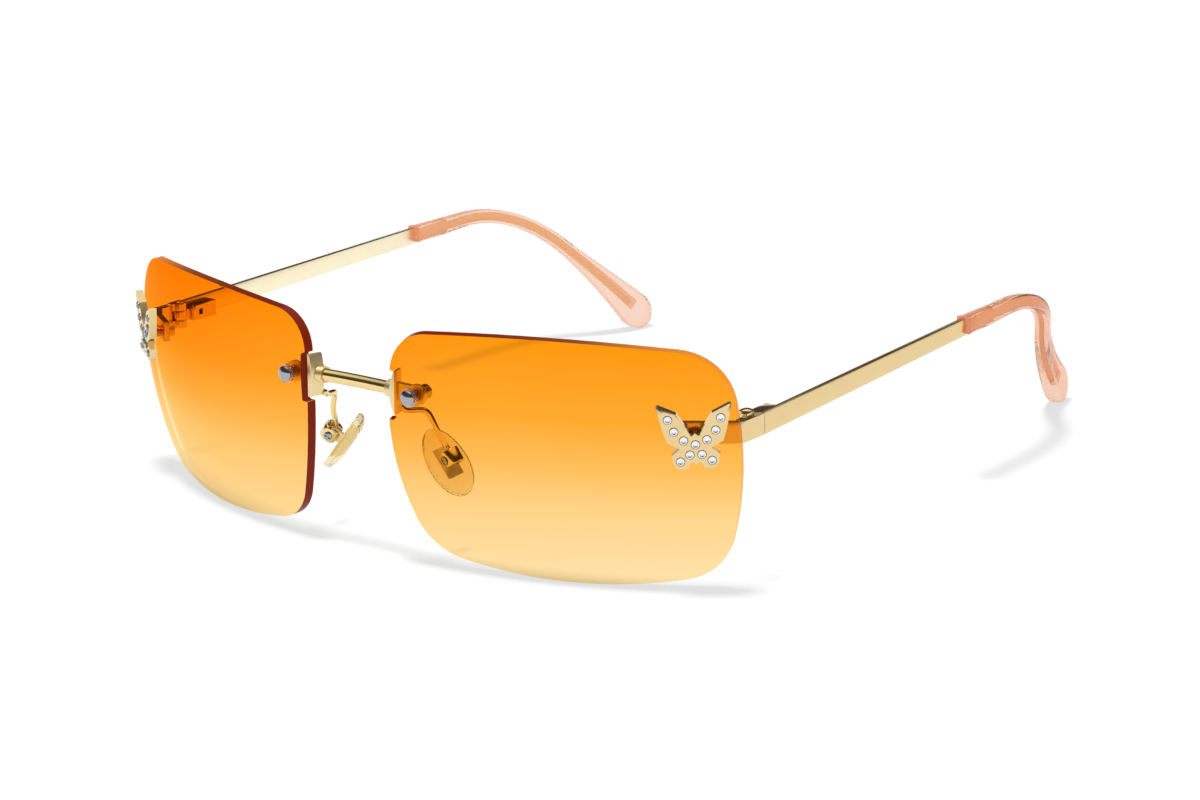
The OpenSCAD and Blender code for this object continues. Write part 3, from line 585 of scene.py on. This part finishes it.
class SUNGLASSES_OT_bridge(bpy.types.Operator):
    """Bridge bar, mount plates and the screws and nuts that hold them"""
    bl_idname = "sunglasses.bridge"
    bl_label = "Bridge"

    def execute(self, context):
        metals = context.scene.metal_settings
        bar = copy_of("bridge_bar_smooth", "bridge_bar")
        smooth(bar, 40)
        paint(bar, "polished_gold")
        hand_over(bar, "front", "bridge_bar")
        nut = ridged_nut("lens_nut_left_ridged", "lens_nut_left", 0.76 * MM, 2.2 * MM, metals.ridges)
        hand_over(mirrored(nut, "lens_nut_right_ridged"), "front", "lens_nut_right")
        hand_over(nut, "front", "lens_nut_left")
        for side, _ in SIDES:
            soften("bridge_mount_" + side, "front", "mount_gold", 0.16 * MM)
            soften("lens_screw_" + side, "front", "steel", 0.04 * MM)
            dress("lens_bushing_" + side, "clear")
        return {"FINISHED"}


class SUNGLASSES_OT_pads(bpy.types.Operator):
    """Pad arms with their clamps, cross screws and soft oval pads"""
    bl_idname = "sunglasses.pads"
    bl_label = "Nose pads"

    def execute(self, context):
        plastics = context.scene.plastic_settings
        pad = self.soft_pad(plastics)
        twin = mirrored(pad, "nose_pad_right_soft")
        for piece, side in ((pad, "left"), (twin, "right")):
            hand_over(piece, "pad_" + side, "nose_pad_" + side)
            no_shadow(piece)
        screw = self.cross_screw()
        hand_over(mirrored(screw, "pad_screw_right_cross"), "front", "pad_screw_right")
        hand_over(screw, "front", "pad_screw_left")
        for side, _ in SIDES:
            arm = copy_of("pad_arm_%s_wire" % side, "pad_arm_" + side)
            smooth(arm, 50)
            paint(arm, "polished_gold")
            hand_over(arm, "front", "pad_arm_" + side)
            clamp = soften("pad_clamp_" + side, "front", "polished_gold", 0.25 * MM)
            insert = soften("pad_insert_" + side, "pad_" + side, "mount_gold", 0.06 * MM)
            no_shadow(arm, clamp, insert)
        return {"FINISHED"}

    def soft_pad(self, plastics):
        """An oval cushion: a flat with a sunk middle towards the clamp, crowned towards the nose"""
        start()
        rim = plastics.pad_depth * 0.45
        bpy.ops.mesh.primitive_cylinder_add(vertices=PAD_SIDES, radius=1, depth=rim)
        pad = bpy.context.object
        pad.name = "nose_pad_left_soft"
        pad.scale = (plastics.pad_length / 2, plastics.pad_width / 2, 1)
        bpy.ops.object.transform_apply(location=True, rotation=True, scale=True)
        rise = plastics.pad_depth - rim
        # Rings inwards on the crown and on the flat: how far in, in mm, and which share of the rise up
        crown = ((0.8, 0.52), (1.0, 0.3), (1.1, 0.18))
        flat = ((0.9, 0.0), (0.25, -0.2), (1.0, 0.0))
        for side, rings in ((1, crown), (-1, flat)):
            for step, lift in rings:
                mesh = edit(pad)
                select(mesh, lambda f: len(f.verts) == PAD_SIDES and side * f.normal.z > 0.99)
                bpy.ops.mesh.inset(thickness=step * MM, depth=0)
                bpy.ops.transform.translate(value=(0, 0, side * lift * rise))
                done()
        # The upper end is slimmer than the lower
        mesh = edit(pad)
        bpy.ops.mesh.select_mode(type="VERT")
        end = max(v.co.x for v in mesh.verts)
        for vert in mesh.verts:
            vert.select_set(vert.co.x > end - NEAR)
        bpy.ops.transform.resize(value=(1, 0.9, 1), center_override=(0, 0, 0), use_proportional_edit=True,
                                 proportional_edit_falloff="SMOOTH", proportional_size=plastics.pad_length)
        done()
        bevel(pad, 0.35 * MM, 3, 50)
        modify(pad, "SUBSURF", levels=2, render_levels=2)
        smooth(pad, 60)
        # Its own upright is the pad's length, its top the side of the nose
        turn = Matrix.Rotation(math.radians(-90), 4, "Y")
        shift = Matrix.Translation(Vector((rise / 2 - plastics.pad_offset, 0, 0)))
        settle(pad, Matrix.Translation(CLAMP) @ PAD_TURN @ shift @ turn)
        paint(pad, "pad")
        return pad

    def cross_screw(self):
        """The small clamp screw with a cross cut in its head"""
        screw = copy_of("pad_screw_left_cross", "pad_screw_left")
        head = Matrix.Translation(CLAMP) @ PAD_TURN @ Matrix.Translation((0, -2.07 * MM, 0))
        long, deep, wide = 1.3 * MM, 0.4 * MM, 0.24 * MM
        cut(screw, cutter((long, deep, wide), head), cutter((wide, deep, long), head))
        smooth(screw, 35)
        paint(screw, "steel")
        return screw


class SUNGLASSES_OT_charms(bpy.types.Operator):
    """Butterfly charms with their cut stones and the nuts on their posts"""
    bl_idname = "sunglasses.charms"
    bl_label = "Charms"

    def execute(self, context):
        metals = context.scene.metal_settings
        nut = ridged_nut("charm_nut_left_ridged", "charm_nut_left", 0.66 * MM, 1.4 * MM, metals.ridges)
        hand_over(mirrored(nut, "charm_nut_right_ridged"), "front", "charm_nut_right")
        hand_over(nut, "front", "charm_nut_left")
        for side, _ in SIDES:
            soften("butterfly_" + side, "front", "satin_gold", 0.28 * MM, segments=1)
            dress("charm_bushing_" + side, "clear")
        gems = self.gems(context.scene.stone_settings)
        hand_over(mirrored(gems, "rhinestones_right_cut"), "front", "rhinestones_right")
        hand_over(gems, "front", "rhinestones_left")
        return {"FINISHED"}

    def gems(self, stones):
        """One cut stone, copied to the place of each stone of the CAD model"""
        places = copy_of("stone_places", "rhinestones_left")
        edit(places)
        bpy.ops.mesh.separate(type="LOOSE")
        done()
        loose = list(bpy.context.selected_objects)
        spots = []
        for item in loose:
            corners = [Vector(v.co) for v in item.data.vertices]
            spots.append(sum(corners, Vector()) / len(corners))
        for item in loose:
            bpy.data.objects.remove(item)
        centre = sum(spots, Vector()) / len(spots)
        out = (centre - DOME).normalized()
        gem = self.gem(stones)
        high = max(v.co.z for v in gem.data.vertices)
        # Tops of the CAD stones, along the way out of the lens, set the height of every stone
        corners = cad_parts["rhinestones_left"].data.vertices
        top = max((Vector(v.co) - centre).dot(out) for v in corners)
        made = []
        for spot in spots:
            pick(gem)
            bpy.ops.object.duplicate()
            item = bpy.context.object
            flat = spot - out * (spot - centre).dot(out)
            settle(item, facing(flat + out * (top - high), out))
            made.append(item)
        bpy.data.objects.remove(gem)
        pick(made[0])
        for item in made:
            item.select_set(True)
        bpy.ops.object.join()
        gems = bpy.context.object
        gems.name = "rhinestones_left_cut"
        return gems

    def gem(self, stones):
        """A round stone: foiled below the girdle, two rings of facets and a table above it"""
        below = 0.7 * MM
        start()
        bpy.ops.mesh.primitive_cylinder_add(vertices=stones.facets, radius=stones.diameter / 2, depth=below,
                                            location=(0, 0, -below / 2))
        gem = bpy.context.object
        gem.name = "gem"
        bpy.ops.object.transform_apply(location=True, rotation=True, scale=True)
        paint(gem, "crystal", "foil", "girdle")
        # Each ring takes its share of the crown's height and shrinks inwards
        for part, shrink in ((5 / 34, 0.93), (17 / 34, 0.8), (12 / 34, 0.72)):
            mesh = edit(gem)
            top = max(f.calc_center_median().z for f in mesh.faces)
            select(mesh, lambda f: f.normal.z > 0.9 and f.calc_center_median().z > top - NEAR / 10)
            bpy.ops.mesh.extrude_region_move(TRANSFORM_OT_translate={"value": (0, 0, part * stones.crown)})
            bpy.ops.transform.resize(value=(shrink, shrink, 1), center_override=(0, 0, 0))
            done()
        # The band just over the girdle takes the painted shade; below it is the foil, above it the clear crown
        for face in gem.data.polygons:
            height = face.center.z
            face.material_index = 1 if height < 0 else 2 if height < 0.05 * MM else 0
        return gem


class SUNGLASSES_OT_hinges(bpy.types.Operator):
    """Endpieces, hinge knuckles, slotted hinge screws, spring boxes and springs"""
    bl_idname = "sunglasses.hinges"
    bl_label = "Hinges"

    def execute(self, context):
        width = context.scene.metal_settings.break_width
        for side, sign in SIDES:
            band = soften("endpiece_" + side, "front", "satin_gold", width)
            fork = soften("hinge_fork_" + side, "front", "polished_gold", width)
            tang = soften("hinge_tang_" + side, "hinge_link_" + side, "polished_gold", 0.08 * MM)
            box = soften("spring_box_" + side, "temple_arm_" + side, "polished_gold", width)
            no_shadow(band, fork, tang, box)
            dress("hinge_spring_" + side, "steel")
            screw = copy_of("hinge_screw_%s_slotted" % side, "hinge_screw_" + side)
            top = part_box("hinge_screw_" + side)[1]
            spot = middle("hinge_screw_" + side)
            spot.z = top[2]
            turn = Matrix.Translation(spot) @ Matrix.Rotation(math.radians(35 * sign), 4, "Z")
            cut(screw, cutter((3 * MM, 0.36 * MM, 0.5 * MM), turn))
            smooth(screw, 35)
            paint(screw, "polished_gold")
            hand_over(screw, "front", "hinge_screw_" + side)
        return {"FINISHED"}


class SUNGLASSES_OT_temples(bpy.types.Operator):
    """Flat temples with rounded edges and the clear sleeves over their cores"""
    bl_idname = "sunglasses.temples"
    bl_label = "Temples"

    def execute(self, context):
        width = context.scene.metal_settings.break_width
        for side, sign in SIDES:
            temple = soften("temple_" + side, "temple_arm_" + side, "satin_gold", width / 2)
            paint(temple, "painted_highlight_gold")
            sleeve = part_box("temple_tip_" + side)[0][1]
            # Inner faces and the core under the sleeve take the paler gold, a painted highlight
            for face in temple.data.polygons:
                if face.normal.x * sign < -0.8 or face.center.y > sleeve:
                    face.material_index = 1
            no_shadow(temple)
            tip = copy_of("temple_tip_%s_clear" % side, "temple_tip_" + side)
            smooth(tip, 40)
            see_through(tip, True)
            paint(tip, "tip", "tip_end")
            front = min(v.co.y for v in tip.data.vertices)
            for face in tip.data.polygons:
                if face.normal.y < -0.8 and face.center.y < front + 0.5 * MM:
                    face.material_index = 1
            hand_over(tip, "temple_arm_" + side, "temple_tip_" + side)
        return {"FINISHED"}


class SUNGLASSES_OT_stage(bpy.types.Operator):
    """White table, even light from all round, one soft lamp and the camera"""
    bl_idname = "sunglasses.stage"
    bl_label = "Stage"

    def execute(self, context):
        settings = context.scene.stage_settings
        self.floor(settings)
        self.world(settings)
        start()
        bpy.ops.object.light_add(type="AREA", location=LAMP)
        lamp = bpy.context.object
        lamp.name = "soft_lamp"
        lamp.data.shape = "DISK"
        lamp.data.size = LAMP_SIZE
        lamp.data.energy = settings.lamp
        bpy.ops.object.camera_add(location=CAMERA)
        camera = bpy.context.object
        camera.name = "camera"
        camera.rotation_euler = (CAMERA_AIM - CAMERA).to_track_quat("-Z", "Y").to_euler()
        camera.data.lens = settings.focal
        camera.data.sensor_width = 36
        camera.data.clip_start = 0.01
        context.scene.camera = camera
        context.scene.view_settings.view_transform = "Standard"
        return {"FINISHED"}

    def floor(self, settings):
        """A round table top, large enough to reach behind every view"""
        start()
        bpy.ops.mesh.primitive_circle_add(vertices=96, radius=TABLE_RADIUS, fill_type="NGON",
                                          location=(0, 0, -0.02 * MM))
        floor = bpy.context.object
        floor.name = "table"
        # White laminate: matt, with faint clouds of 8 cm. For the camera, glass and mirrors it adds a little
        # white, more further off, where less of the lamp's light falls
        made, tree = material("White laminate")
        tone = add(tree, "ShaderNodeMix", {"data_type": "RGBA", 6: settings.floor, 7: settings.cloud},
                   {0: grain(tree, 12)})
        matt = add(tree, "ShaderNodeBsdfDiffuse", (), {"Color": tone.outputs[2]})
        path = add(tree, "ShaderNodeLightPath").outputs
        seen = larger(tree, larger(tree, path["Is Camera Ray"], path["Is Transmission Ray"]), path["Is Glossy Ray"])
        place = add(tree, "ShaderNodeTexCoord")
        off = add(tree, "ShaderNodeVectorMath", {"operation": "LENGTH"}, {0: place.outputs["Object"]})
        lift = add(tree, "ShaderNodeMath", {"operation": "MULTIPLY"},
                   {0: seen, 1: remap(tree, off.outputs["Value"], 0.15, 1.3, 0.14, 0.55)})
        glow = add(tree, "ShaderNodeEmission", {"Color": WHITE}, {"Strength": lift.outputs[0]})
        finish(made, add(tree, "ShaderNodeAddShader", (), {0: matt.outputs[0], 1: glow.outputs[0]}))
        floor.data.materials.append(made)

    def world(self, settings):
        """White wherever the camera looks and through glass; metal mirrors a darker room over the table"""
        world = bpy.data.worlds.new("studio")
        bpy.context.scene.world = world
        world.use_nodes = True
        tree = world.node_tree
        tree.nodes.clear()
        place = add(tree, "ShaderNodeTexCoord")
        parts = add(tree, "ShaderNodeSeparateXYZ", (), {0: place.outputs["Generated"]})
        room = ramp(tree, parts.outputs["Z"], ((0.0, WHITE), (0.04, WHITE), (0.11, settings.room),
                                               (0.62, settings.room), (0.8, WHITE), (1.0, WHITE)))
        mirrored_room = add(tree, "ShaderNodeBackground", {"Strength": 1.0}, {"Color": room})
        soft = add(tree, "ShaderNodeBackground", {"Color": WHITE, "Strength": settings.ambient})
        white = add(tree, "ShaderNodeBackground", {"Color": WHITE, "Strength": 1.0})
        path = add(tree, "ShaderNodeLightPath").outputs
        lit = add(tree, "ShaderNodeMixShader", (),
                  {0: path["Is Glossy Ray"], 1: soft.outputs[0], 2: mirrored_room.outputs[0]})
        seen = larger(tree, path["Is Camera Ray"], path["Is Transmission Ray"])
        final = add(tree, "ShaderNodeMixShader", (), {0: seen, 1: lit.outputs[0], 2: white.outputs[0]})
        add(tree, "ShaderNodeOutputWorld", (), {0: final.outputs[0]})


class SUNGLASSES_PT_panel(bpy.types.Panel):
    """Lists the pieces and the stage in the sidebar"""
    bl_idname = "SUNGLASSES_PT_panel"
    bl_label = "Sunglasses"
    bl_space_type = "VIEW_3D"
    bl_region_type = "UI"
    bl_category = "Sunglasses"

    def draw(self, context):
        for kind in STEPS:
            self.layout.operator(kind.bl_idname)


STEPS = (SUNGLASSES_OT_stage, SUNGLASSES_OT_lenses, SUNGLASSES_OT_bridge, SUNGLASSES_OT_pads,
         SUNGLASSES_OT_charms, SUNGLASSES_OT_hinges, SUNGLASSES_OT_temples)
GROUPS = {"lens_settings": LensSettings, "metal_settings": MetalSettings, "plastic_settings": PlasticSettings,
          "stone_settings": StoneSettings, "stage_settings": StageSettings}


def register():
    for kind in list(GROUPS.values()) + list(STEPS) + [SUNGLASSES_PT_panel]:
        bpy.utils.register_class(kind)
    for name, kind in GROUPS.items():
        setattr(bpy.types.Scene, name, PointerProperty(type=kind))


def unregister():
    for name in GROUPS:
        delattr(bpy.types.Scene, name)
    for kind in [SUNGLASSES_PT_panel] + list(reversed(STEPS)) + list(GROUPS.values()):
        bpy.utils.unregister_class(kind)


def main():
    register()
    finishes.update(make_materials(bpy.context.scene))
    for kind in STEPS:
        group, name = kind.bl_idname.split(".")
        getattr(getattr(bpy.ops, group), name)()


if __name__ == "__main__":
    main()
